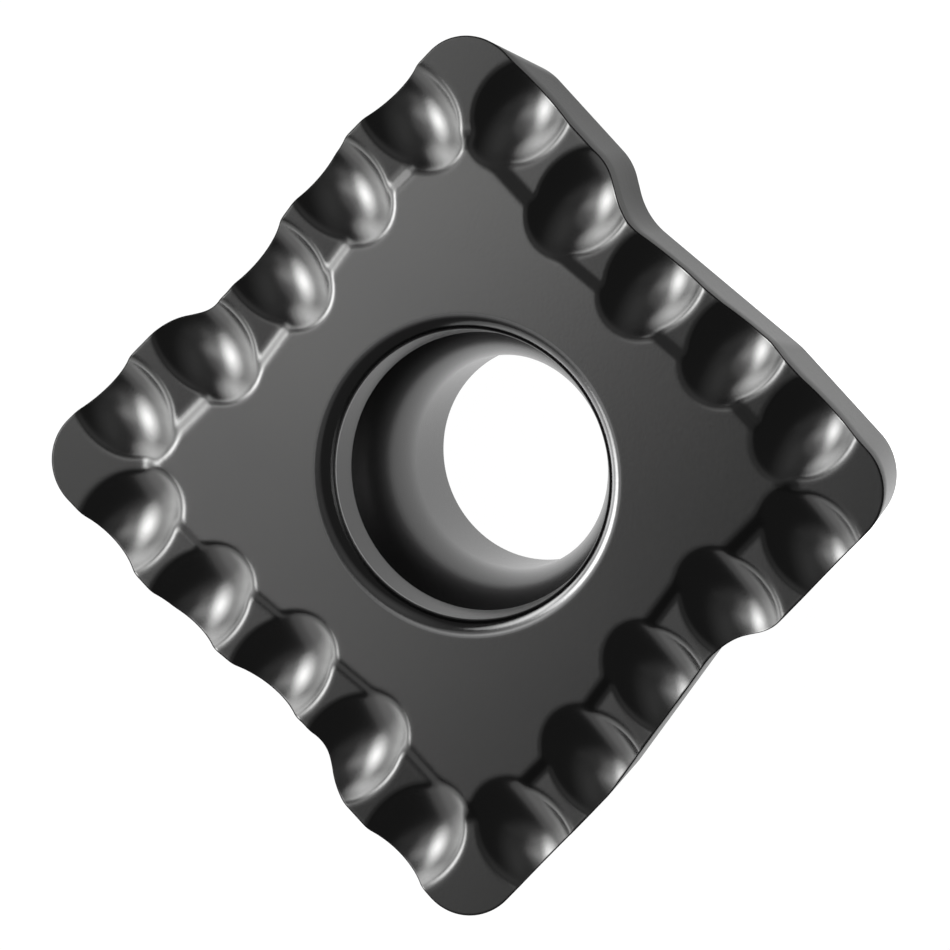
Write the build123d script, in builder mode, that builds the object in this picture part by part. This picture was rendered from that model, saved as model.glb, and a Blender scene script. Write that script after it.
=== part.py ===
from build123d import *
import os
from math import cos, radians, sin, sqrt, tan

os.makedirs("parts", exist_ok=True)

# Square indexable insert with four stepped cutting edges, in millimetres.
# The seat face lies on Z = 0, the screw hole runs along Z and the rake face looks up.
# Side 0 faces +X. Seen from above, the four sides follow each other clockwise.

# Body
inscribed_circle = 9.2
thickness = 3.18
nose_radius = 0.8
clearance_angle = 11.0
flank_height = 2.2
relief_angle = 25.0

# Step of one cutting edge, with places measured along the edge from its middle
step_start = -1.70
step_angle = 30.5
slant_angle = 8.0
slant_end = 1.69
shoulder_radius = 0.77
root_radius = 1.02
bend_radius = 0.96

# Rake face: a land that slopes inwards, and a low rounded wall up to the plateau
land_angle = 3.1
wall_angle = 18.4
land_width = 0.99
leading_land_width = 1.215
corner_land_start = 0.05
corner_land_width = 1.52
corner_wall_angle = 21.5

# Chip scoops, ground with a barrel-shaped form
scoop_count = 5
scoop_pitch = 1.51
scoop_row_shift = -0.045
scoop_depth = 0.265
scoop_cross_radius = 0.88
scoop_length_radius = 1.77
scoop_inset = 0.467
recessed_scoops = (1, 2)
recessed_scoop_shift = 0.218

# Screw hole
bore_diameter = 3.0
bore_height = 1.19
seat_radius = 2.2
recess_diameter = 3.95
recess_angle = 11.5
lip_radius = 0.165

# Cutting forms: room above the rake face and outside the edges, and half the angle of the scoop form's section
form_margin = 0.6
form_section = 52.0

half_width = inscribed_circle / 2
relief_height = thickness - flank_height
flank_inset = flank_height * tan(radians(clearance_angle))
relief_inset = relief_height * tan(radians(relief_angle))
side_count = 4
side_turn = 360 / side_count


def crossing(first, second):
    """Point where two lines cross, each given by the direction of its normal and its distance."""
    angle_a, distance_a = radians(first[0]), first[1]
    angle_b, distance_b = radians(second[0]), second[1]
    spread = sin(angle_b - angle_a)
    x = (distance_a * sin(angle_b) - distance_b * sin(angle_a)) / spread
    y = (distance_b * cos(angle_a) - distance_a * cos(angle_b)) / spread
    return Vector(x, y)


def side_lines(inset):
    """Straight stretches of side 0 moved inwards: leading, step ramp, slant and trailing."""
    ramp = half_width * cos(radians(step_angle)) + step_start * sin(radians(step_angle))
    slant = half_width * cos(radians(slant_angle)) - slant_end * sin(radians(slant_angle))
    return [
        (0, half_width - inset),
        (-step_angle, ramp - inset),
        (slant_angle, slant - inset),
        (0, half_width - inset),
    ]


def outline_corners(inset):
    """Sharp corners of the whole outline, clockwise: nose, shoulder, root and bend of each side."""
    leading, ramp, slant, trailing = side_lines(inset)
    before = (trailing[0] + side_turn, trailing[1])
    corners = [
        crossing(before, leading),
        crossing(leading, ramp),
        crossing(ramp, slant),
        crossing(slant, trailing),
    ]
    return [p.rotate(Axis.Z, -side_turn * k) for k in range(side_count) for p in corners]


def wall_profile(width, steepest):
    """Section of what is cut off the rake face: x runs inwards from the edge, y up from it.

    The land falls at the land angle, a hollow arc turns it up to the steepest angle half way
    across the wall, and a round arc of the same radius brings it level at the plateau.
    """
    fall, rise = radians(land_angle), radians(steepest)
    run = sin(rise) + sin(fall)
    climb = 2 * (1 - cos(rise)) - (1 - cos(fall))
    radius = width * tan(fall) / (climb + run * tan(fall))
    foot_start = width - radius * run
    middle = (width, -radius * (1 - cos(rise)))
    top = (width + radius * sin(rise), 0)
    outside = (-form_margin, form_margin * tan(fall))
    foot = (foot_start, -foot_start * tan(fall))
    with BuildLine() as section:
        Line(outside, foot)
        foot_arc = TangentArc(foot, middle, tangent=(cos(fall), -sin(fall)))
        TangentArc(middle, top, tangent=foot_arc % 1)
        Polyline(top, (top[0], form_margin), (outside[0], form_margin), outside)
    return section.line


# Positions of the scoops along a side
scoop_places = [
    scoop_row_shift + scoop_pitch * (i - (scoop_count - 1) / 2) for i in range(scoop_count)
]

# One side of the rake face, cut in three prisms that meet inside the scoops
slant_foot = Vector(half_width, -slant_end)
stretches = [
    (leading_land_width, 0, scoop_places[0], scoop_places[1]),
    (land_width, slant_angle, scoop_places[1], scoop_places[3]),
    (land_width, 0, scoop_places[3], scoop_places[4]),
]
with BuildPart() as side_cut:
    for width, turn, start, end in stretches:
        across = Vector(-1, 0).rotate(Axis.Z, turn)
        along = Vector(0, 1).rotate(Axis.Z, turn)
        foot = slant_foot if turn else Vector(half_width, -end)
        origin = foot + along * (slant_end - end if turn else 0)
        with BuildSketch(Plane(origin + Vector(0, 0, thickness), across, along)):
            add(wall_profile(width, wall_angle))
            make_face()
        extrude(amount=end - start)

# The corner land is one flat facet that falls along the diagonal from just outside the nose
diagonal = Vector(1, 1).normalized()
nose_tip = (half_width - nose_radius) * sqrt(2) + nose_radius
corner_origin = diagonal * (nose_tip + corner_land_start) + Vector(0, 0, thickness)
with BuildPart() as corner_cut:
    with BuildSketch(Plane(corner_origin, -diagonal, Vector(-1, 1).normalized())):
        add(wall_profile(corner_land_width, corner_wall_angle))
        make_face()
    extrude(amount=half_width, both=True)
    with Locations((scoop_places[-1], -scoop_places[0], thickness)):
        Box(
            half_width,
            half_width,
            4 * form_margin,
            align=(Align.MIN, Align.MIN, Align.CENTER),
            mode=Mode.INTERSECT,
        )

# Scoops of one side: each form is the outer part of a ring whose axis runs along the edge
form_ring = scoop_length_radius - scoop_cross_radius
form_level = thickness - scoop_depth + scoop_length_radius
with BuildPart() as side_scoops:
    for index, place in enumerate(scoop_places):
        inset = scoop_inset + (recessed_scoop_shift if index in recessed_scoops else 0)
        centre = (half_width - inset, -place, form_level)
        with Locations(Plane(centre, x_dir=(0, 0, -1), z_dir=(0, 1, 0))):
            Torus(form_ring, scoop_cross_radius, -form_section, form_section)

with BuildPart() as insert:
    # Body: two bands of flank, each a ruled surface between rounded outlines
    bands = [(thickness, 0), (relief_height, flank_inset), (0, flank_inset + relief_inset)]
    radii = [nose_radius, shoulder_radius, root_radius, bend_radius] * side_count
    for level, inset in bands:
        with BuildSketch(Plane.XY.offset(level)):
            with BuildLine():
                FilletPolyline(*outline_corners(inset), radius=radii, close=True)
            make_face()
    loft(ruled=True)

    # Rake face
    with PolarLocations(0, side_count):
        add(side_cut.part, mode=Mode.SUBTRACT)
        add(corner_cut.part, mode=Mode.SUBTRACT)
    with PolarLocations(0, side_count):
        add(side_scoops.part, mode=Mode.SUBTRACT)

    # Screw hole: a plain bore, a bell-shaped seat and a steep recess for the screw head
    bore = bore_diameter / 2
    recess = recess_diameter / 2
    seat_centre = bore + seat_radius
    seat_top = bore_height + sqrt(seat_radius**2 - (seat_centre - recess) ** 2)
    recess_top = recess + (thickness - seat_top) * tan(radians(recess_angle))
    with BuildSketch(Plane.XZ) as hole_section:
        with BuildLine():
            Polyline((recess, seat_top), (recess_top, thickness), (0, thickness), (0, 0), (bore, 0))
            Line((bore, 0), (bore, bore_height))
            TangentArc((bore, bore_height), (recess, seat_top), tangent=(0, 1))
        make_face()
    revolve(axis=Axis.Z, mode=Mode.SUBTRACT)
    lip = insert.edges().filter_by(GeomType.CIRCLE).filter_by(lambda e: e.center().Z > thickness - 1e-6)
    fillet(lip.sort_by(SortBy.LENGTH)[-1], lip_radius)

insert.part.label = "insert_body"
export_step(insert.part, "parts/insert_body.step")
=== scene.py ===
"""Looks of a square cutting insert with stepped, scalloped edges: one body of coated carbide.

Sizes are in millimetres, and are turned to metres when a mesh is made. The insert lies on its seat
face, with the screw hole along Z and the rake face up. Side 0 faces +X, and the four sides follow each
other clockwise seen from above.
"""

from __future__ import annotations

import logging
from dataclasses import dataclass, field
from enum import Enum
from math import cos, pi, radians, sin, sqrt, tan

import bpy
import numpy as np
from mathutils import Matrix, Vector

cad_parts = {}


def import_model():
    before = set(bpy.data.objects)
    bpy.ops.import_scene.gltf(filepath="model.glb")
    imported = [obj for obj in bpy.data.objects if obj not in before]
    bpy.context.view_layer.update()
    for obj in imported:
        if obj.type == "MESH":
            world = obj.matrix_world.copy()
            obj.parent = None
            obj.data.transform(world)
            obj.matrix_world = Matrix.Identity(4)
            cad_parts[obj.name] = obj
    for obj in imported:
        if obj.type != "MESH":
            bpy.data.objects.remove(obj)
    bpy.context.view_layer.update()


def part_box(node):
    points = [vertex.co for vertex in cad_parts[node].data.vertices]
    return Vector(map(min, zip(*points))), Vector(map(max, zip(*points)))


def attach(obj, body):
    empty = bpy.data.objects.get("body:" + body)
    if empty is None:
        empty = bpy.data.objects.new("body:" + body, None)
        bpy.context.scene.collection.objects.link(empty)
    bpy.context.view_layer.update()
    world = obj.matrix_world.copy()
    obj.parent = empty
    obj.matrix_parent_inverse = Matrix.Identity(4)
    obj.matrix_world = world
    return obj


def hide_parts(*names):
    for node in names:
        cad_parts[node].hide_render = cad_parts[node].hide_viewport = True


LOG = logging.getLogger("insert")
MM = 0.001
NODE = "insert_body"
SIDES = 4
SIDE_TURN = 360 / SIDES

# Fewest points on a rounded corner, and fewest steps along a straight stretch of the outline
ARC_POINTS = 4
STRETCH_STEPS = 2

# Keeps square roots and roundings above nought: square millimetres, and millimetres
LEAST_SQUARE = 1e-6
LEAST_REACH = 1e-4

# Squared slope of a scoop past which its rim is rounded no wider
STEEPEST_RIM = 1.5

# A land's painted shade is full at the first depth below the plateau, and gone at the second below the
# land
LAND_START = 0.004
LAND_DEPTH = 0.02

# The outline has this many points for each point of the hole's rings
FINER = 4

# Specular level of a common surface, which a finish lowers with its share of metal
USUAL_SPECULAR = 0.5

# A soft light's discs: how wide each is, and how far it stands, as shares of the first one's
DISCS = ((1.0, 1.0), (2 / 3, 1.01), (1 / 3, 1.02))

# Small change of slope that shows which way a light's image moves
SLOPE_STEP = 0.02


def linear(hex_colour: str) -> tuple[float, float, float, float]:
    """Turns an sRGB hex colour to linear light.

    Args:
        hex_colour: six hex digits after a hash sign.

    Returns:
        Linear red, green and blue, with an alpha of 1.
    """
    levels = (int(hex_colour[i : i + 2], 16) / 255 for i in (1, 3, 5))
    return (*(c / 12.92 if c <= 0.04045 else ((c + 0.055) / 1.055) ** 2.4 for c in levels), 1.0)


def add_node(tree: bpy.types.NodeTree, kind: str, settings: dict, links: dict) -> bpy.types.Node:
    """Adds a shader node, sets its values and links its inputs.

    Args:
        tree: the node tree that gets the node.
        kind: the node's type name.
        settings: attribute names, or input names and numbers, to values.
        links: input names or numbers to the output sockets that feed them.

    Returns:
        The new node.
    """
    node = tree.nodes.new(kind)
    for name, value in settings.items():
        if isinstance(name, str) and hasattr(node, name):
            setattr(node, name, value)
        else:
            node.inputs[name].default_value = value
    for name, output in links.items():
        tree.links.new(output, node.inputs[name])
    return node


def turned(points: np.ndarray, degrees: float) -> np.ndarray:
    """Turns rows of plan points about the hole axis, anticlockwise by the given angle."""
    c, s = cos(radians(degrees)), sin(radians(degrees))
    return points @ np.array([[c, s], [-s, c]])


def arc_points(
    centre: tuple[float, float], radius: float, start: float, end: float, count: int
) -> np.ndarray:
    """Points of an arc in the plane of its centre, from one angle to another.

    Formula: centre plus radius times (cosine, sine) of evenly spaced angles.

    Args:
        centre: the arc's centre.
        radius: its radius.
        start: first angle in degrees.
        end: last angle in degrees.
        count: how many points, both ends included.

    Returns:
        An array of count rows and two columns.
    """
    angle = np.radians(np.linspace(start, end, count))
    return np.array(centre) + radius * np.stack([np.cos(angle), np.sin(angle)], axis=1)


def ring_quads(rings: int, columns: int, first: int) -> np.ndarray:
    """Faces of four corners between neighbouring closed rings.

    Formula: with n = first + ring * columns + place, a face joins n, the point beside it, and the two
    at the same places on the next ring.

    Args:
        rings: how many rings there are.
        columns: how many points each has.
        first: number of the first ring's first point.

    Returns:
        Rows of four point numbers.
    """
    ring, place = np.meshgrid(np.arange(rings - 1), np.arange(columns), indexing="ij")
    here = first + ring * columns + place
    beside = first + ring * columns + (place + 1) % columns
    return np.stack([here, beside, beside + columns, here + columns], axis=-1).reshape(-1, 4)


def ring_strip(fine: int, coarse: int, count: int) -> np.ndarray:
    """Triangles between a ring of the outline and a ring of the hole with a quarter of its points.

    Formula: beside each step from a to b on the hole's ring lie points f0 to f4 of the outline. The
    triangles are a f0 f1, a f1 f2, a f2 b, b f2 f3 and b f3 f4.

    Args:
        fine: number of the outline ring's first point.
        coarse: number of the hole ring's first point.
        count: how many points the outline's ring has.

    Returns:
        Rows of three point numbers.
    """
    steps = count // FINER
    place = np.arange(steps)
    f = [fine + (FINER * place + i) % count for i in range(FINER + 1)]
    a, b = coarse + place, coarse + (place + 1) % steps
    corners = ((a, f[0], f[1]), (a, f[1], f[2]), (a, f[2], b), (b, f[2], f[3]), (b, f[3], f[4]))
    return np.concatenate([np.stack(triangle, axis=1) for triangle in corners])


@dataclass
class SteppedOutline:
    """Closed outline of the insert, which keeps the radius of each corner as it moves inwards.

    Each side has a leading stretch, a step inwards, a slant back out and a trailing stretch.
    """

    half_width: float
    nose_radius: float = 0.8
    step_start: float = -1.70
    step_angle: float = 30.5
    slant_angle: float = 8.0
    slant_end: float = 1.69
    shoulder_radius: float = 0.77
    root_radius: float = 1.02
    bend_radius: float = 0.96
    spacing: float = 0.03

    def stretches(self) -> list[tuple[float, tuple[float, float]]]:
        """Straight stretches of side 0, after the last one of the side before it.

        Returns:
            For each, its heading in degrees and a point on it, in edge coordinates: u along the edge
            from its middle, v inwards from it.
        """
        return [
            (-SIDE_TURN, (-self.half_width, 0.0)),
            (0.0, (0.0, 0.0)),
            (self.step_angle, (self.step_start, 0.0)),
            (-self.slant_angle, (self.slant_end, 0.0)),
            (0.0, (0.0, 0.0)),
        ]

    def corners(self, inset: float) -> tuple[np.ndarray, np.ndarray, np.ndarray]:
        """Where neighbouring stretches cross once all have moved inwards.

        Formula: each stretch is the line n . p = c with n its inward normal, and c grows by the
        inset. Two such equations give a corner.

        Args:
            inset: how far the stretches have moved inwards.

        Returns:
            Corner points, the headings before them and the headings after them.
        """
        heading = np.array([h for h, _ in self.stretches()])
        normal = np.stack([-np.sin(np.radians(heading)), np.cos(np.radians(heading))], axis=1)
        level = np.sum(normal * np.array([p for _, p in self.stretches()]), axis=1) + inset
        pairs = np.stack([normal[:-1], normal[1:]], axis=1)
        levels = np.stack([level[:-1], level[1:]], axis=1)[..., None]
        return np.linalg.solve(pairs, levels)[..., 0], heading[:-1], heading[1:]

    def next_nose(self, nose: np.ndarray) -> np.ndarray:
        """Sharp corner of the next side's nose, from side 0's own, in side 0's edge coordinates."""
        pivot = [0, self.half_width]
        return turned(nose[None] - pivot, SIDE_TURN)[0] + pivot

    def side(self, inset: float) -> np.ndarray:
        """Points of side 0 from the start of its nose arc to the end of its trailing stretch.

        Formula: at a corner P with turn t and radius r, the arc runs from P back along the first
        heading by r tan(t/2) to P on along the second heading by as much. Straight stretches are
        divided evenly, into as many steps at any inset as they have at none.

        Args:
            inset: how far the outline has moved inwards.

        Returns:
            Rows of edge coordinates u and v.
        """
        points, before, after = self.corners(inset)
        still, _, _ = self.corners(0.0)
        radii = (self.nose_radius, self.shoulder_radius, self.root_radius, self.bend_radius)
        arcs, tangents = [], []
        for corner, first, second, radius in zip(points, before, after, radii):
            turn = second - first
            tangent = radius * tan(radians(abs(turn) / 2))
            along = np.array([cos(radians(first)), sin(radians(first))])
            inward = np.array([-along[1], along[0]]) * np.sign(turn)
            centre = corner - tangent * along + radius * inward
            count = max(ARC_POINTS, round(radius * radians(abs(turn)) / self.spacing))
            start = first - 90 * np.sign(turn)
            arcs.append(arc_points(tuple(centre), radius, start, start + turn, count))
            tangents.append(tangent)
        targets = [*points[1:], self.next_nose(points[0])]
        resting = [*still[1:], self.next_nose(still[0])]
        loop = []
        for i, arc in enumerate(arcs):
            following = tangents[(i + 1) % len(tangents)]
            gap = tangents[i] + following
            reach = np.linalg.norm(resting[i] - still[i]) - gap
            count = max(STRETCH_STEPS, round(reach / self.spacing))
            last = targets[i] - following * np.array([cos(radians(after[i])), sin(radians(after[i]))])
            share = np.linspace(0, 1, count + 1)[1:-1, None]
            loop += [arc, arc[-1] + (last - arc[-1]) * share]
        return np.concatenate(loop)

    def loop(self, inset: float) -> np.ndarray:
        """The whole outline, clockwise, in plan.

        Formula: on side 0, x is the half width less v, and y is minus u. The other sides are side 0
        turned by a quarter each.

        Args:
            inset: how far the outline has moved inwards.

        Returns:
            Rows of x and y.
        """
        uv = self.side(inset)
        plan = np.stack([self.half_width - uv[:, 1], -uv[:, 0]], axis=1)
        return np.concatenate([turned(plan, -SIDE_TURN * k) for k in range(SIDES)])


@dataclass
class RakeFace:
    """Upper face: a plateau, a low rounded wall, a land along each edge, and ground chip scoops.

    Heights are measured from the plateau, and are negative below it.
    """

    outline: SteppedOutline
    land_angle: float = 3.1
    wall_angle: float = 22.5
    land_width: float = 0.99
    leading_land_width: float = 1.215
    corner_land_start: float = 0.05
    corner_land_width: float = 1.52
    corner_wall_angle: float = 24.0
    scoop_count: int = 5
    scoop_pitch: float = 1.51
    scoop_row_shift: float = -0.045
    scoop_depth: float = 0.28
    scoop_cross_radius: float = 0.93
    scoop_length_radius: float = 1.53
    scoop_inset: float = 0.467
    recessed_scoops: tuple[int, ...] = (1, 2)
    recessed_scoop_shift: float = 0.218
    rim_radius: float = 0.19

    def scoop_places(self) -> np.ndarray:
        """Places of the scoops along the edge, evenly spaced about the row's middle."""
        steps = np.arange(self.scoop_count) - (self.scoop_count - 1) / 2
        return self.scoop_row_shift + self.scoop_pitch * steps

    def wall(self, distance: np.ndarray, width: float, steepest: float) -> np.ndarray:
        """Height of the land and the wall behind it, at a distance inwards from the edge.

        Formula: the land falls in a straight line. A hollow arc tangent to it reaches the steepest
        angle at the land's width, and a round arc of the same radius brings the height back to
        nought, level.

        Args:
            distance: distances inwards from the edge.
            width: distance of the wall's middle from the edge.
            steepest: angle of the wall's middle in degrees.

        Returns:
            Heights, nought on the plateau.
        """
        fall, rise = radians(self.land_angle), radians(steepest)
        run = sin(rise) + sin(fall)
        climb = 2 * (1 - cos(rise)) - (1 - cos(fall))
        radius = width * tan(fall) / (climb + run * tan(fall))
        foot = width - radius * run
        hollow_centre = width - radius * sin(rise)
        hollow_level = -radius * (1 - cos(rise)) + radius * cos(rise)
        round_centre = width + radius * sin(rise)
        land = -distance * tan(fall)
        hollow_drop = np.sqrt(np.maximum(radius**2 - (distance - hollow_centre) ** 2, 0))
        crown_rise = np.sqrt(np.maximum(radius**2 - (distance - round_centre) ** 2, 0))
        bands = [distance < foot, distance < width, distance < round_centre]
        return np.select(bands, [land, hollow_level - hollow_drop, crown_rise - radius], 0.0)

    def scoop(
        self, u: np.ndarray, v: np.ndarray, place: float, inset: float
    ) -> tuple[np.ndarray, np.ndarray]:
        """Height of the barrel-shaped floor of one scoop, and how steep it is.

        Formula: across the edge direction the form's section is an arc of the cross radius. Turned
        about an axis along the edge it gives the radius rho(u) = length radius - cross radius +
        sqrt(cross radius^2 - du^2), and the height is minus the depth plus the length radius less
        sqrt(rho^2 - dv^2).

        Args:
            u: places along the edge.
            v: places inwards from it.
            place: where the scoop's middle is along the edge.
            inset: where its lowest point is, inwards from the edge.

        Returns:
            Heights, and squared slopes.
        """
        du, dv = u - place, v - inset
        across = np.sqrt(np.maximum(self.scoop_cross_radius**2 - du**2, LEAST_SQUARE))
        rho = self.scoop_length_radius - self.scoop_cross_radius + across
        drop = np.sqrt(np.maximum(rho**2 - dv**2, LEAST_SQUARE))
        height = self.scoop_length_radius - self.scoop_depth - drop
        inside = (np.abs(du) < self.scoop_cross_radius) & (np.abs(dv) < rho)
        slope = (dv / drop) ** 2 + (rho * du / (across * drop)) ** 2
        outside = self.outline.half_width
        return np.where(inside, height, outside), np.minimum(slope, STEEPEST_RIM)

    def rounded_lower(self, face: np.ndarray, cut: np.ndarray, slope: np.ndarray) -> np.ndarray:
        """Lower of two heights, with the ridge where they cross rounded to the rim radius.

        Formula: min(a, b) - k h^2 / 4 with h = max(1 - |a - b| / k, 0). For two faces that differ in
        slope by g, k = radius g^2 / (2 sqrt(1 + g^2)) makes the rounding as wide as an arc of that
        radius.

        Args:
            face: heights before the cut.
            cut: heights of the cut.
            slope: squared slopes of the cut.

        Returns:
            Heights after the cut.
        """
        reach = np.maximum(self.rim_radius * slope / (2 * np.sqrt(1 + slope)), LEAST_REACH)
        near = np.clip(1 - np.abs(face - cut) / reach, 0, 1)
        return np.minimum(face, cut) - reach * near**2 / 4

    def land_height(self, plan: np.ndarray) -> np.ndarray:
        """Height of the rake face before the scoops are ground.

        Formula: each side has three walls, the middle one along the slant, and the corner's wall
        runs square to the diagonal. They take turns along the edge at scoop middles, where the
        scoops hide the seams.

        Args:
            plan: rows of x and y.

        Returns:
            A height for each row.
        """
        half_width, nose = self.outline.half_width, self.outline.nose_radius
        places = self.scoop_places()
        tilt = radians(self.outline.slant_angle)
        nose_tip = (half_width - nose) * sqrt(2) + nose
        result = np.zeros(len(plan))
        for k in range(SIDES):
            local = turned(plan, SIDE_TURN * k)
            u, v = -local[:, 1], half_width - local[:, 0]
            slant = v * cos(tilt) + (u - self.outline.slant_end) * sin(tilt)
            diagonal = nose_tip + self.corner_land_start - (local[:, 0] - local[:, 1]) / sqrt(2)
            bands = [
                (u >= places[0]) & (u < places[1]),
                (u >= places[1]) & (u < places[3]),
                (u >= places[3]) & (u < places[4]),
                (u >= places[4]) & (local[:, 0] > -places[0]),
            ]
            walls = [
                self.wall(v, self.leading_land_width, self.wall_angle),
                self.wall(slant, self.land_width, self.wall_angle),
                self.wall(v, self.land_width, self.wall_angle),
                self.wall(np.maximum(diagonal, 0), self.corner_land_width, self.corner_wall_angle),
            ]
            result = np.minimum(result, np.select(bands, walls, 0.0))
        return result

    def height(self, plan: np.ndarray) -> np.ndarray:
        """Height of the rake face, from the lands, the walls and all the scoops.

        Args:
            plan: an array of points, with x and y last.

        Returns:
            A height for each point.
        """
        flat = plan.reshape(-1, 2)
        result = self.land_height(flat)
        for k in range(SIDES):
            local = turned(flat, SIDE_TURN * k)
            u, v = -local[:, 1], self.outline.half_width - local[:, 0]
            for index, place in enumerate(self.scoop_places()):
                inset = self.scoop_inset + self.recessed_scoop_shift * (index in self.recessed_scoops)
                result = self.rounded_lower(result, *self.scoop(u, v, place, inset))
        return result.reshape(plan.shape[:-1])

    def land_share(self, plan: np.ndarray) -> np.ndarray:
        """How much of each point belongs to a land: 1 on a land, 0 on the plateau and in the scoops.

        Formula: the share rises with the depth of the land and falls with the depth of a scoop
        below it.

        Args:
            plan: an array of points, with x and y last.

        Returns:
            A share for each point.
        """
        land = self.land_height(plan.reshape(-1, 2)).reshape(plan.shape[:-1])
        below = land - self.height(plan)
        return np.clip(-land / LAND_START, 0, 1) * np.clip(1 - below / LAND_DEPTH, 0, 1)


@dataclass
class ScrewHole:
    """Hole for the clamping screw: rounded lip, steep recess wall, bell-shaped seat and plain bore."""

    thickness: float
    bore_radius: float = 1.5
    bore_height: float = 1.19
    seat_radius: float = 2.2
    recess_radius: float = 1.955
    recess_angle: float = 9.0
    lip_radius: float = 0.26
    ledge_radius: float = 0.07
    edge_break: float = 0.03
    lip_points: int = 13
    ledge_points: int = 5
    seat_points: int = 16
    wall_shares: tuple[float, ...] = (0.04, 0.5, 0.94)
    seat_first_share: float = 0.15
    bore_shares: tuple[float, ...] = (0.97, 0.5, 0.06)
    foot_shares: tuple[tuple[float, float], ...] = ((0, 1.4), (0, 1), (0.3, 0.3), (1, 0), (1.4, 0))

    def seat_centre(self) -> tuple[float, float]:
        """Centre of the seat's arc, level with the bore's end, as radius and height."""
        return self.bore_radius + self.seat_radius, self.bore_height

    def seat_top(self) -> float:
        """Height at which the seat's arc reaches the recess radius.

        Returns:
            A height above the seat face.
        """
        centre_radius, _ = self.seat_centre()
        start = np.degrees(np.arccos((centre_radius - self.recess_radius) / self.seat_radius))
        return self.bore_height + self.seat_radius * sin(radians(start))

    def lip(self) -> np.ndarray:
        """Arc of the lip, from level to the recess wall's angle.

        Returns:
            Rows of radius and height, from the plateau down.
        """
        lean = (self.thickness - self.seat_top()) * tan(radians(self.recess_angle))
        level = self.lip_radius * tan(radians((90 - self.recess_angle) / 2))
        centre = (self.recess_radius + lean + level, self.thickness - self.lip_radius)
        return arc_points(centre, self.lip_radius, 90, 180 - self.recess_angle, self.lip_points)

    def ledge(self) -> tuple[np.ndarray, float]:
        """Arc that rounds the ledge between the recess wall and the seat.

        Formula: its circle touches both. Its centre c is one ledge radius from the wall, and the
        distance from c to the seat's centre is the seat radius plus the ledge radius, which gives
        its place along the wall.

        Returns:
            Rows of radius and height from the wall down, and the angle on the seat's own arc at
            which it ends, in degrees.
        """
        centre = self.seat_centre()
        slope = radians(self.recess_angle)
        up_wall = np.array([sin(slope), cos(slope)])
        off_wall = np.array([-cos(slope), sin(slope)]) * self.ledge_radius
        start = np.array([self.recess_radius, self.seat_top()]) + off_wall - centre
        reach = self.seat_radius + self.ledge_radius
        along = -start @ up_wall + sqrt((start @ up_wall) ** 2 - start @ start + reach**2)
        middle = start + along * up_wall
        touch = np.degrees(np.arctan2(*middle[::-1]))
        rounding = arc_points(
            tuple(middle + centre),
            self.ledge_radius,
            -self.recess_angle,
            touch - 180,
            self.ledge_points,
        )
        return rounding, touch

    def profile(self) -> np.ndarray:
        """Section of the hole from the plateau down to the seat face.

        Formula: the lip, a straight wall, the ledge, the seat's arc about a point outside the bore,
        which ends tangent to it, the straight bore, and a small broken edge at the seat face.

        Returns:
            Rows of radius and height.
        """
        lip = self.lip()
        ledge, touch = self.ledge()
        wall = lip[-1] + (ledge[0] - lip[-1]) * np.array(self.wall_shares)[:, None]
        seat = arc_points(self.seat_centre(), self.seat_radius, touch, 180, self.seat_points)[1:]
        first = ledge[-1] + (seat[0] - ledge[-1]) * self.seat_first_share
        seat = np.insert(seat, 0, first, axis=0)
        bore = np.array([[self.bore_radius, self.bore_height * share] for share in self.bore_shares])
        foot = [self.bore_radius, 0] + np.array(self.foot_shares) * self.edge_break
        return np.concatenate([lip, wall, ledge, seat, bore, foot])


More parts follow.
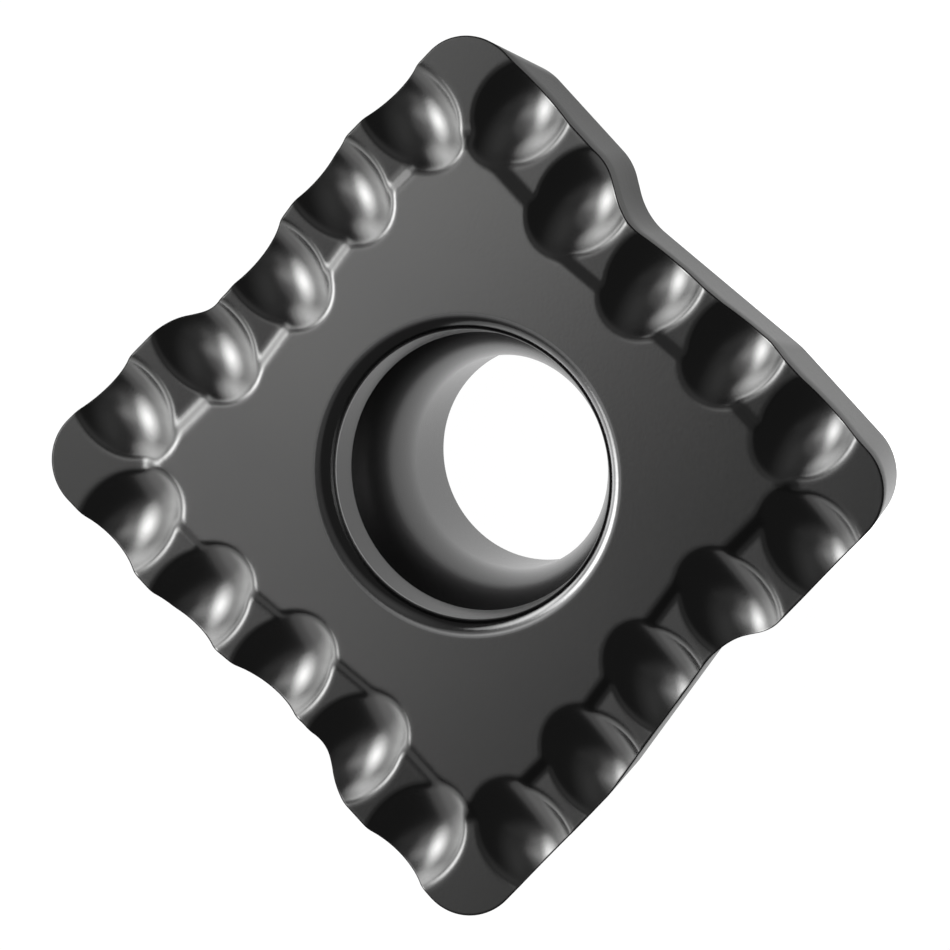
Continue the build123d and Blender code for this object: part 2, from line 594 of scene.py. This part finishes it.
@dataclass(frozen=True)
class CoatedCarbide:
    """Sintered tungsten carbide under a hard titanium aluminium nitride coat laid down from vapour.

    The coat follows the fine grain of the ground or sintered face below it, so reflections are
    soft, and its tone drifts a little with its thickness.
    """

    name: str
    dark: str = "#757575"
    light: str = "#7d7d7c"
    grazing: str = "#9a9a9a"
    roughness: float = 0.21
    roughness_drift: float = 0.03
    drift_mm: float = 2.5
    drift_detail: float = 2.0
    grain_mm: float = 0.045
    grain_detail: float = 3.0
    grain_height_mm: float = 0.0005
    streak_mm: float = 0.0
    streak_detail: float = 4.0
    streak_depth: float = 0.0
    streak_stretch: tuple[float, float, float] = (0.04, 0.04, 1.0)
    land_painted_shade: float = 0.0
    metallic: float = 1.0

    def streaks(
        self, tree: bpy.types.NodeTree, place: bpy.types.NodeSocket
    ) -> bpy.types.NodeSocket:
        """Grinding marks that run level round the flanks: noise stretched along X and Y.

        Args:
            tree: the material's node tree.
            place: the Object coordinates.

        Returns:
            The strength of the marks at a point.
        """
        level = add_node(
            tree,
            "ShaderNodeVectorMath",
            {"operation": "MULTIPLY", 1: self.streak_stretch},
            {0: place},
        )
        marks = add_node(
            tree,
            "ShaderNodeTexNoise",
            {"Scale": 1 / (self.streak_mm * MM), "Detail": self.streak_detail},
            {"Vector": level.outputs[0]},
        )
        return marks.outputs[0]

    def tone(
        self,
        tree: bpy.types.NodeTree,
        place: bpy.types.NodeSocket,
        streak: bpy.types.NodeSocket | None,
    ) -> bpy.types.NodeSocket:
        """Colour of the coat.

        Args:
            tree: the material's node tree.
            place: the Object coordinates.
            streak: the grinding marks, if the face has any.

        Returns:
            The colour at a point.
        """
        # A slow drift in the coat's thickness, which shades a flat face from one end to the other
        drift = add_node(
            tree,
            "ShaderNodeTexNoise",
            {"Scale": 1 / (self.drift_mm * MM), "Detail": self.drift_detail},
            {"Vector": place},
        )
        tone = add_node(
            tree,
            "ShaderNodeMix",
            {"data_type": "RGBA", 6: linear(self.dark), 7: linear(self.light)},
            {0: drift.outputs[0]},
        ).outputs[2]
        if streak is not None:
            tone = add_node(
                tree,
                "ShaderNodeMix",
                {"data_type": "RGBA", "blend_type": "OVERLAY", 0: self.streak_depth},
                {6: tone, 7: streak},
            ).outputs[2]
        if self.land_painted_shade:
            # Painted shade: the coat on the lands is mixed a shade darker, towards black
            land = add_node(tree, "ShaderNodeAttribute", {"attribute_name": "land"}, {})
            land_shade = add_node(
                tree,
                "ShaderNodeMath",
                {"operation": "MULTIPLY", 1: self.land_painted_shade},
                {0: land.outputs["Fac"]},
            )
            tone = add_node(
                tree,
                "ShaderNodeMix",
                {"data_type": "RGBA", 7: linear("#000000")},
                {0: land_shade.outputs[0], 6: tone},
            ).outputs[2]
        return tone

    def material(self) -> bpy.types.Material:
        """Builds the node material.

        Returns:
            The material, which reads Object coordinates and, on the rake face, the share of land.
        """
        made = bpy.data.materials.new(self.name)
        made.use_nodes = True
        tree = made.node_tree
        tree.nodes.clear()
        place = add_node(tree, "ShaderNodeTexCoord", {}, {}).outputs["Object"]
        # Carbide grains under the coat: they blur reflections unevenly. Real ones are about 0.001 mm
        # across, too fine to show, so they are drawn coarser
        grain = add_node(
            tree,
            "ShaderNodeTexNoise",
            {"Scale": 1 / (self.grain_mm * MM), "Detail": self.grain_detail},
            {"Vector": place},
        ).outputs[0]
        streak = self.streaks(tree, place) if self.streak_depth else None
        height = grain
        if streak is not None:
            height = add_node(
                tree,
                "ShaderNodeMix",
                {"data_type": "FLOAT", 0: self.streak_depth},
                {2: grain, 3: streak},
            ).outputs[0]
        rough = add_node(
            tree,
            "ShaderNodeMapRange",
            {3: self.roughness - self.roughness_drift, 4: self.roughness + self.roughness_drift},
            {0: grain},
        )
        bump = add_node(
            tree,
            "ShaderNodeBump",
            {"Strength": 1.0, "Distance": self.grain_height_mm * MM},
            {"Height": height},
        )
        shader = add_node(
            tree,
            "ShaderNodeBsdfPrincipled",
            {
                "Metallic": self.metallic,
                "Specular IOR Level": USUAL_SPECULAR * self.metallic,
                "Specular Tint": linear(self.grazing),
            },
            {
                "Base Color": self.tone(tree, place, streak),
                "Roughness": rough.outputs[0],
                "Normal": bump.outputs[0],
            },
        )
        add_node(tree, "ShaderNodeOutputMaterial", {}, {"Surface": shader.outputs[0]})
        return made


class Face(Enum):
    """Kinds of face on the insert, each with its finish; several finishes carry painted shade or a
    painted highlight in their colours.
    """

    # Sintered rake face with ground scoops: smooth, so the scoops carry clear soft highlights. Its
    # lands carry painted shade, a shade darker
    RAKE = CoatedCarbide("coated_carbide_rake", land_painted_shade=0.33)
    # Honed cutting edge: painted shade, a dark matt colour with no reflection that draws it as a fine
    # dark line
    EDGE = CoatedCarbide(
        "coated_carbide_hone_painted_shade",
        dark="#2c2c2c",
        light="#333333",
        roughness=0.45,
        metallic=0.0,
    )
    # Ground flanks: level grinding marks give them a faint satin look. Their grazing colour is darker
    # than the rake face's, painted shade that dims their reflections
    FLANK = CoatedCarbide(
        "coated_carbide_flank_painted_shade",
        grazing="#868686",
        roughness=0.24,
        streak_mm=0.05,
        streak_depth=0.2,
    )
    # Rounded lip of the hole, less rough than the faces beside it and coloured lighter, a painted
    # highlight: it carries a bright crescent
    LIP = CoatedCarbide("coated_carbide_lip_painted_highlight", dark="#8c8c8c", light="#949494", roughness=0.15)
    # Pressed and sintered hole: its skin scatters a little light, and shines towards grazing light.
    # Its colour is darker than the rake face's, painted shade in the recess, and its grazing colour
    # lighter, a painted sheen on its walls
    HOLE = CoatedCarbide(
        "coated_carbide_hole_painted_shade_and_sheen",
        dark="#5a5a5a",
        light="#616161",
        grazing="#ffffff",
        roughness=0.25,
        metallic=0.8,
    )


@dataclass
class InsertBody:
    """The insert's one body, meshed as a closed loop of rings.

    The rings go from the hole's lip out over the rake face and the cutting edge, down the flanks,
    in along the seat face and back up the hole.
    """

    half_width: float
    thickness: float
    clearance_angle: float = 11.0
    flank_height: float = 2.2
    relief_angle: float = 25.0
    hone: float = 0.02
    hone_fullness: float = 0.6
    edge_break: float = 0.03
    lip_margin: float = 0.03
    scoop_zone: float = 1.75
    zone_rings: int = 46
    inner_rings: int = 7
    inner_growth: float = 1.3
    edge_steps: int = 12
    upper_shares: tuple[float, ...] = (0.25, 0.6, 0.92)
    crease_shares: tuple[float, ...] = (-1.0, -0.3, 0.3, 1.0)
    lower_shares: tuple[float, ...] = (0.5, 0.97)
    seat_shares: tuple[float, ...] = (0.3, 1.0, 1.6)
    seat_rise: float = 0.25
    outline: SteppedOutline = field(init=False)
    rake: RakeFace = field(init=False)
    hole: ScrewHole = field(init=False)

    def __post_init__(self) -> None:
        """Makes the outline, the rake face and the hole from the body's own size."""
        self.outline = SteppedOutline(self.half_width)
        self.rake = RakeFace(self.outline)
        self.hole = ScrewHole(self.thickness)

    def inset_at(self, depth: np.ndarray) -> np.ndarray:
        """How far the flank has moved inwards at a depth: two straight slopes, the second steeper."""
        below = np.maximum(depth - self.flank_height, 0)
        upper = np.minimum(depth, self.flank_height) * tan(radians(self.clearance_angle))
        return upper + below * tan(radians(self.relief_angle))

    def flank_points(self, depth: np.ndarray) -> np.ndarray:
        """Points on the flank, one for each point of the outline.

        Formula: each point of the outline moves in a straight line as the inset grows.

        Args:
            depth: how far each point is below the plateau.

        Returns:
            Rows of x, y and z.
        """
        at_rest = self.outline.loop(0.0)
        per_inset = self.outline.loop(1.0) - at_rest
        plan = at_rest + per_inset * self.inset_at(depth)[:, None]
        return np.concatenate([plan, (self.thickness - depth)[:, None]], axis=1)

    def edge_depth(self) -> np.ndarray:
        """Depth at which the flank meets the rake face.

        Formula: the rake face's depth at the flank's point is taken as the next depth on the flank,
        until both agree.

        Returns:
            A depth for each point of the outline.
        """
        depth = np.zeros(len(self.outline.loop(0.0)))
        for _ in range(self.edge_steps):
            depth = -self.rake.height(self.flank_points(depth)[:, :2])
        return depth

    def rake_rings(self, edge: np.ndarray, lip_radius: float) -> np.ndarray:
        """Rings from the hole's lip out to the cutting edge, along rays from the hole axis.

        Formula: on each ray the scoop zone, from the edge inwards to a share of the ray, has evenly
        spaced rings, and the plateau up to the lip has rings that grow apart.

        Args:
            edge: points of the cutting edge.
            lip_radius: outer radius of the lip.

        Returns:
            Rings of points, the innermost first.
        """
        distance = np.linalg.norm(edge[:, :2], axis=1)
        zone_end = distance * (1 - self.scoop_zone / self.half_width)
        inner = np.linspace(0, 1, self.inner_rings + 1)[:-1, None] ** self.inner_growth
        outer = np.linspace(0, 1, self.zone_rings)[:-1, None]
        innermost = lip_radius + self.lip_margin
        radius = np.concatenate(
            [
                innermost + (zone_end - lip_radius - self.lip_margin) * inner,
                zone_end + (distance - 2 * self.hone - zone_end) * outer,
                distance[None] - 2 * self.hone,
                distance[None] - self.hone,
            ]
        )
        plan = (edge[:, :2] / distance[:, None])[None] * radius[..., None]
        height = self.thickness + self.rake.height(plan)
        return np.concatenate([plan, height[..., None]], axis=2)

    def outer_rings(self) -> np.ndarray:
        """Rings from the lip over the cutting edge and down the flanks to the seat face's rim.

        Formula: the honed edge lies between the sharp edge and the middle of the two rings beside
        it. Below it the rings follow the flank at shares of its height, close together at the crease
        between its two bands and at the broken edge of the seat face.

        Returns:
            Rings of points.
        """
        depth = self.edge_depth()
        edge = self.flank_points(depth)
        rake = self.rake_rings(edge, self.hole.profile()[0, 0])
        below = self.flank_points(depth + self.hone)
        honed = (rake[-1] + below) / 2 * (1 - self.hone_fullness) + edge * self.hone_fullness
        e = self.edge_break
        crease = self.flank_height
        level = np.full_like(depth, 1.0)
        upper = [
            self.flank_points(depth + self.hone + (crease - e - depth - self.hone) * share)
            for share in self.upper_shares
        ]
        creases = [self.flank_points(level * (crease + e * share)) for share in self.crease_shares]
        last = self.thickness - e
        lower = [
            self.flank_points(level * (crease + (last - crease) * share))
            for share in self.lower_shares
        ]
        rim = self.flank_points(level * last)
        corner = self.flank_points(level * self.thickness)[:, :2]
        inside = 1 - np.array(self.seat_shares)[:, None] * e / np.linalg.norm(corner, axis=1)
        seat = [np.concatenate([corner * s[:, None], np.zeros((len(s), 1))], axis=1) for s in inside]
        seat[0][:, 2] = self.seat_rise * e
        return np.stack([*rake, honed, below, *upper, *creases, *lower, rim, *seat])

    def hole_rings(self, outer: np.ndarray) -> np.ndarray:
        """Rings of the hole's profile, on the ray of every fourth point of the outline.

        Args:
            outer: the rings outside the hole.

        Returns:
            Rings of points, from the plateau down to the seat face.
        """
        profile = self.hole.profile()
        plan = outer[0, ::FINER, :2]
        ray = plan / np.linalg.norm(plan, axis=1)[:, None]
        height = np.broadcast_to(profile[:, 1, None, None], (len(profile), len(ray), 1))
        return np.concatenate([ray[None] * profile[:, 0, None, None], height], axis=2)

    def dress(self, mesh: bpy.types.Mesh, outer: np.ndarray, inner: np.ndarray) -> None:
        """Gives each face its finish, and each point its share of land.

        Args:
            mesh: the mesh, with its faces in the order of the rings.
            outer: the rings outside the hole.
            inner: the rings of the hole.
        """
        count, coarse = outer.shape[1], inner.shape[1]
        rake_rows = self.inner_rings + self.zone_rings
        edge_rows = 2
        flank_rows = outer.shape[0] - 1 - rake_rows - edge_rows
        lip_rows = self.hole.lip_points - 1
        strip = (FINER + 1) * coarse
        parts = [
            (Face.RAKE, rake_rows * count),
            (Face.EDGE, edge_rows * count),
            (Face.FLANK, flank_rows * count),
            (Face.LIP, lip_rows * coarse),
            (Face.HOLE, (inner.shape[0] - 1 - lip_rows) * coarse),
            (Face.RAKE, strip),
            (Face.FLANK, strip),
        ]
        kinds = list(Face)
        numbers = [np.full(faces, kinds.index(kind), np.int32) for kind, faces in parts]
        mesh.polygons.foreach_set("material_index", np.concatenate(numbers))
        for kind in kinds:
            mesh.materials.append(kind.value.material())
        share = np.zeros(len(mesh.vertices), np.float32)
        rake = self.rake.land_share(outer[: rake_rows + 1, :, :2]).reshape(-1)
        share[: len(rake)] = rake
        mesh.attributes.new("land", "FLOAT", "POINT").data.foreach_set("value", share)

    def mesh(self) -> bpy.types.Mesh:
        """Builds the closed mesh.

        Formula: faces of four corners join neighbouring rings. Strips of triangles join the outer
        rings to the hole's on the plateau and on the seat face.

        Returns:
            The mesh, in metres, with faces outwards.
        """
        outer = self.outer_rings()
        inner = self.hole_rings(outer)
        rings, count = outer.shape[:2]
        hole_rings, coarse = inner.shape[:2]
        offset = rings * count
        vertices = np.concatenate([outer.reshape(-1, 3), inner.reshape(-1, 3)]) * MM
        squares = [ring_quads(rings, count, 0), ring_quads(hole_rings, coarse, offset)[:, ::-1]]
        plateau = ring_strip(0, offset, count)[:, ::-1]
        seat = ring_strip((rings - 1) * count, offset + (hole_rings - 1) * coarse, count)
        faces = [face for part in (*squares, plateau, seat) for face in part.tolist()]
        made = bpy.data.meshes.new("insert_surface")
        made.from_pydata(vertices.tolist(), [], faces)
        made.polygons.foreach_set("use_smooth", np.ones(len(made.polygons), bool))
        self.dress(made, outer, inner)
        made.validate()
        made.update()
        return made

    def build(self) -> bpy.types.Object:
        """Makes the piece and puts it in the place of the plain solid.

        Returns:
            The finished object, which rides on the root body.
        """
        piece = bpy.data.objects.new("insert_surface", self.mesh())
        bpy.context.scene.collection.objects.link(piece)
        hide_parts(NODE)
        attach(piece, "root")
        return piece


class Distance(Enum):
    """How far a light stands from the insert, in millimetres."""

    NEAR = 28.0
    CLOSE = 37.0


@dataclass(frozen=True)
class SoftLight:
    """A round light, brightest in its middle, placed by the slope of face that mirrors it.

    A slope is the part of a surface's normal along the camera's right or up direction. The spreads
    are the angles from the light's middle to its rim. Three discs, each smaller and a little farther
    than the last, make up the light, and each gives a third of its full brightness.
    """

    name: str
    right: float
    up: float
    spread_right: float
    spread_up: float
    brightness: float
    distance: Distance = Distance.CLOSE


@dataclass
class Studio:
    """Glowing white floor, soft lights and a camera that looks down on the insert without perspective.
    """

    thickness: float
    view_width: float = 13.24
    right: tuple[float, float, float] = (0.6648, 0.6645, -0.3414)
    towards: tuple[float, float, float] = (0.1632, 0.3167, 0.9344)
    shift_right: float = 0.104
    shift_up: float = 0.009
    camera_distance: float = 60.0
    clip_start: float = 1.0
    clip_end: float = 1000.0
    floor_level: float = -0.02
    floor_radius: float = 400.0
    floor_corners: int = 96
    floor_roughness: float = 0.9
    glow_direction: tuple[float, float, float] = (0.35, 1.0, 0.0)
    glow_start: float = 2.9
    glow_end: float = 5.2
    glow: float = 1.95
    surroundings: float = 0.036

    def axes(self) -> tuple[Vector, Vector, Vector]:
        """The camera's right, up and backward directions, made square to each other."""
        towards = Vector(self.towards).normalized()
        right = Vector(self.right)
        right = (right - right.dot(towards) * towards).normalized()
        return right, towards.cross(right), towards

    def camera(self) -> bpy.types.Object:
        """Makes the camera and gives it to the scene."""
        right, up, towards = self.axes()
        data = bpy.data.cameras.new("view")
        data.type = "ORTHO"
        data.ortho_scale = self.view_width * MM
        data.clip_start, data.clip_end = self.clip_start * MM, self.clip_end * MM
        made = bpy.data.objects.new("view", data)
        target = Vector((0, 0, self.thickness)) + right * self.shift_right + up * self.shift_up
        place = Matrix((right, up, towards)).transposed().to_4x4()
        place.translation = (target + towards * self.camera_distance) * MM
        made.matrix_world = place
        bpy.context.scene.collection.objects.link(made)
        bpy.context.scene.camera = made
        return made

    def floor(self) -> bpy.types.Object:
        """Makes the floor: a wide flat disc just under the seat face, which glows white as painted
        light.

        Returns:
            The floor.
        """
        data = bpy.data.meshes.new("floor")
        last = 360 - 360 / self.floor_corners
        rim = arc_points((0, 0), self.floor_radius * MM, 0, last, self.floor_corners)
        level = np.full((len(rim), 1), self.floor_level * MM)
        corners = np.concatenate([rim, level], axis=1)
        data.from_pydata(corners.tolist(), [], [list(range(len(rim)))])
        made = bpy.data.objects.new("floor", data)
        bpy.context.scene.collection.objects.link(made)
        floor_glow_material = bpy.data.materials.new("glowing_floor")
        floor_glow_material.use_nodes = True
        tree = floor_glow_material.node_tree
        tree.nodes.clear()
        # White all over: the floor glows, painted light, and glows more strongly under the +Y flank
        # towards +X, which shades that flank from end to end in its reflection
        place = add_node(tree, "ShaderNodeTexCoord", {}, {}).outputs["Object"]
        side = add_node(
            tree,
            "ShaderNodeVectorMath",
            {"operation": "DOT_PRODUCT", 1: self.glow_direction},
            {0: place},
        )
        strength = add_node(
            tree,
            "ShaderNodeMapRange",
            {1: self.glow_start * MM, 2: self.glow_end * MM, 3: 1.0, 4: self.glow},
            {0: side.outputs["Value"]},
        )
        shader = add_node(
            tree,
            "ShaderNodeBsdfPrincipled",
            {
                "Base Color": linear("#303030"),
                "Roughness": self.floor_roughness,
                "Emission Color": linear("#ffffff"),
            },
            {"Emission Strength": strength.outputs[0]},
        )
        add_node(tree, "ShaderNodeOutputMaterial", {}, {"Surface": shader.outputs[0]})
        data.materials.append(floor_glow_material)
        return made

    def mirrored(self, slope_right: float, slope_up: float) -> Vector:
        """Direction that a face with these slopes mirrors to the camera.

        Formula: with n the face's normal and t the direction to the camera, it is 2 (n . t) n - t.

        Args:
            slope_right: part of the normal along the camera's right direction.
            slope_up: part of it along the camera's up direction.

        Returns:
            A vector of length 1.
        """
        right, up, towards = self.axes()
        facing = sqrt(1 - slope_right**2 - slope_up**2)
        normal = right * slope_right + up * slope_up + towards * facing
        return 2 * normal.dot(towards) * normal - towards

    def light(self, soft: SoftLight) -> None:
        """Makes one soft light from its discs.

        Formula: a disc that faces the insert from a distance d and spreads an angle a from its
        middle is 2 d tan(a) wide. Its power is pi times its area times its brightness.

        Args:
            soft: the light's slopes, spreads, brightness and distance.
        """
        centre = self.mirrored(soft.right, soft.up).normalized()
        after = self.mirrored(soft.right + SLOPE_STEP, soft.up)
        before = self.mirrored(soft.right - SLOPE_STEP, soft.up)
        across = after - before
        across = (across - across.dot(centre) * centre).normalized()
        frame = Matrix((across, centre.cross(across), centre)).transposed().to_4x4()
        for share, farther in DISCS:
            reach = soft.distance.value * MM * farther
            data = bpy.data.lights.new(soft.name, "AREA")
            data.shape = "ELLIPSE"
            data.size = 2 * reach * tan(radians(soft.spread_right)) * share
            data.size_y = 2 * reach * tan(radians(soft.spread_up)) * share
            area = pi / 4 * data.size * data.size_y
            data.energy = pi * area * soft.brightness / len(DISCS)
            made = bpy.data.objects.new(soft.name, data)
            made.matrix_world = frame
            made.location = centre * reach
            bpy.context.scene.collection.objects.link(made)

    def world(self) -> None:
        """Fills the rest of the surroundings with an even dim light."""
        made = bpy.data.worlds.new("surroundings")
        made.use_nodes = True
        background = made.node_tree.nodes["Background"]
        background.inputs["Color"].default_value = linear("#ffffff")
        background.inputs["Strength"].default_value = self.surroundings
        bpy.context.scene.world = made


# Name, slope right, slope up, spread right, spread up and brightness
LIGHTS = (
    SoftLight("wide_glow", -0.66, 0.06, 55, 30, 0.63),
    SoftLight("main_softbox", -0.54, 0.00, 14, 21, 4.40),
    SoftLight("softbox_core", -0.51, 0.00, 9, 12, 1.90),
    SoftLight("lower_side", -0.66, -0.48, 42, 42, 0.84),
    SoftLight("upper_side", -0.54, 0.36, 30, 14, 2.34),
    SoftLight("upper_core", -0.48, 0.24, 14, 14, 0.69),
    SoftLight("horizon_strip", -0.72, -0.30, 9, 42, 1.15),
    SoftLight("left_strip", -0.72, 0.00, 14, 30, 0.75),
    SoftLight("inner_glow", -0.36, 0.00, 14, 9, 0.70, Distance.NEAR),
    SoftLight("face_fill", -0.36, -0.12, 9, 9, 0.24, Distance.NEAR),
    SoftLight("front_glow", -0.42, -0.18, 42, 14, 0.12),
    SoftLight("overhead_glow", -0.12, 0.18, 21, 42, 0.11),
)


def main() -> None:
    """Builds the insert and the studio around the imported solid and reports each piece."""
    logging.basicConfig(level=logging.INFO, format="%(message)s")
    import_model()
    low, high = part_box(NODE)
    half_width = (high.x - low.x) / 2 / MM
    thickness = (high.z - low.z) / MM
    body = InsertBody(half_width, thickness)
    piece = body.build()
    LOG.info("%s: %d faces, half width %.3f mm", piece.name, len(piece.data.polygons), half_width)
    studio = Studio(thickness)
    floor = studio.floor()
    LOG.info("%s: radius %.0f mm", floor.name, studio.floor_radius)
    studio.world()
    for soft in LIGHTS:
        studio.light(soft)
        LOG.info("%s: brightness %.2f", soft.name, soft.brightness)
    camera = studio.camera()
    LOG.info("%s: %.2f mm wide", camera.name, studio.view_width)
    bpy.context.scene.view_settings.view_transform = "Standard"


if __name__ == "__main__":
    main()
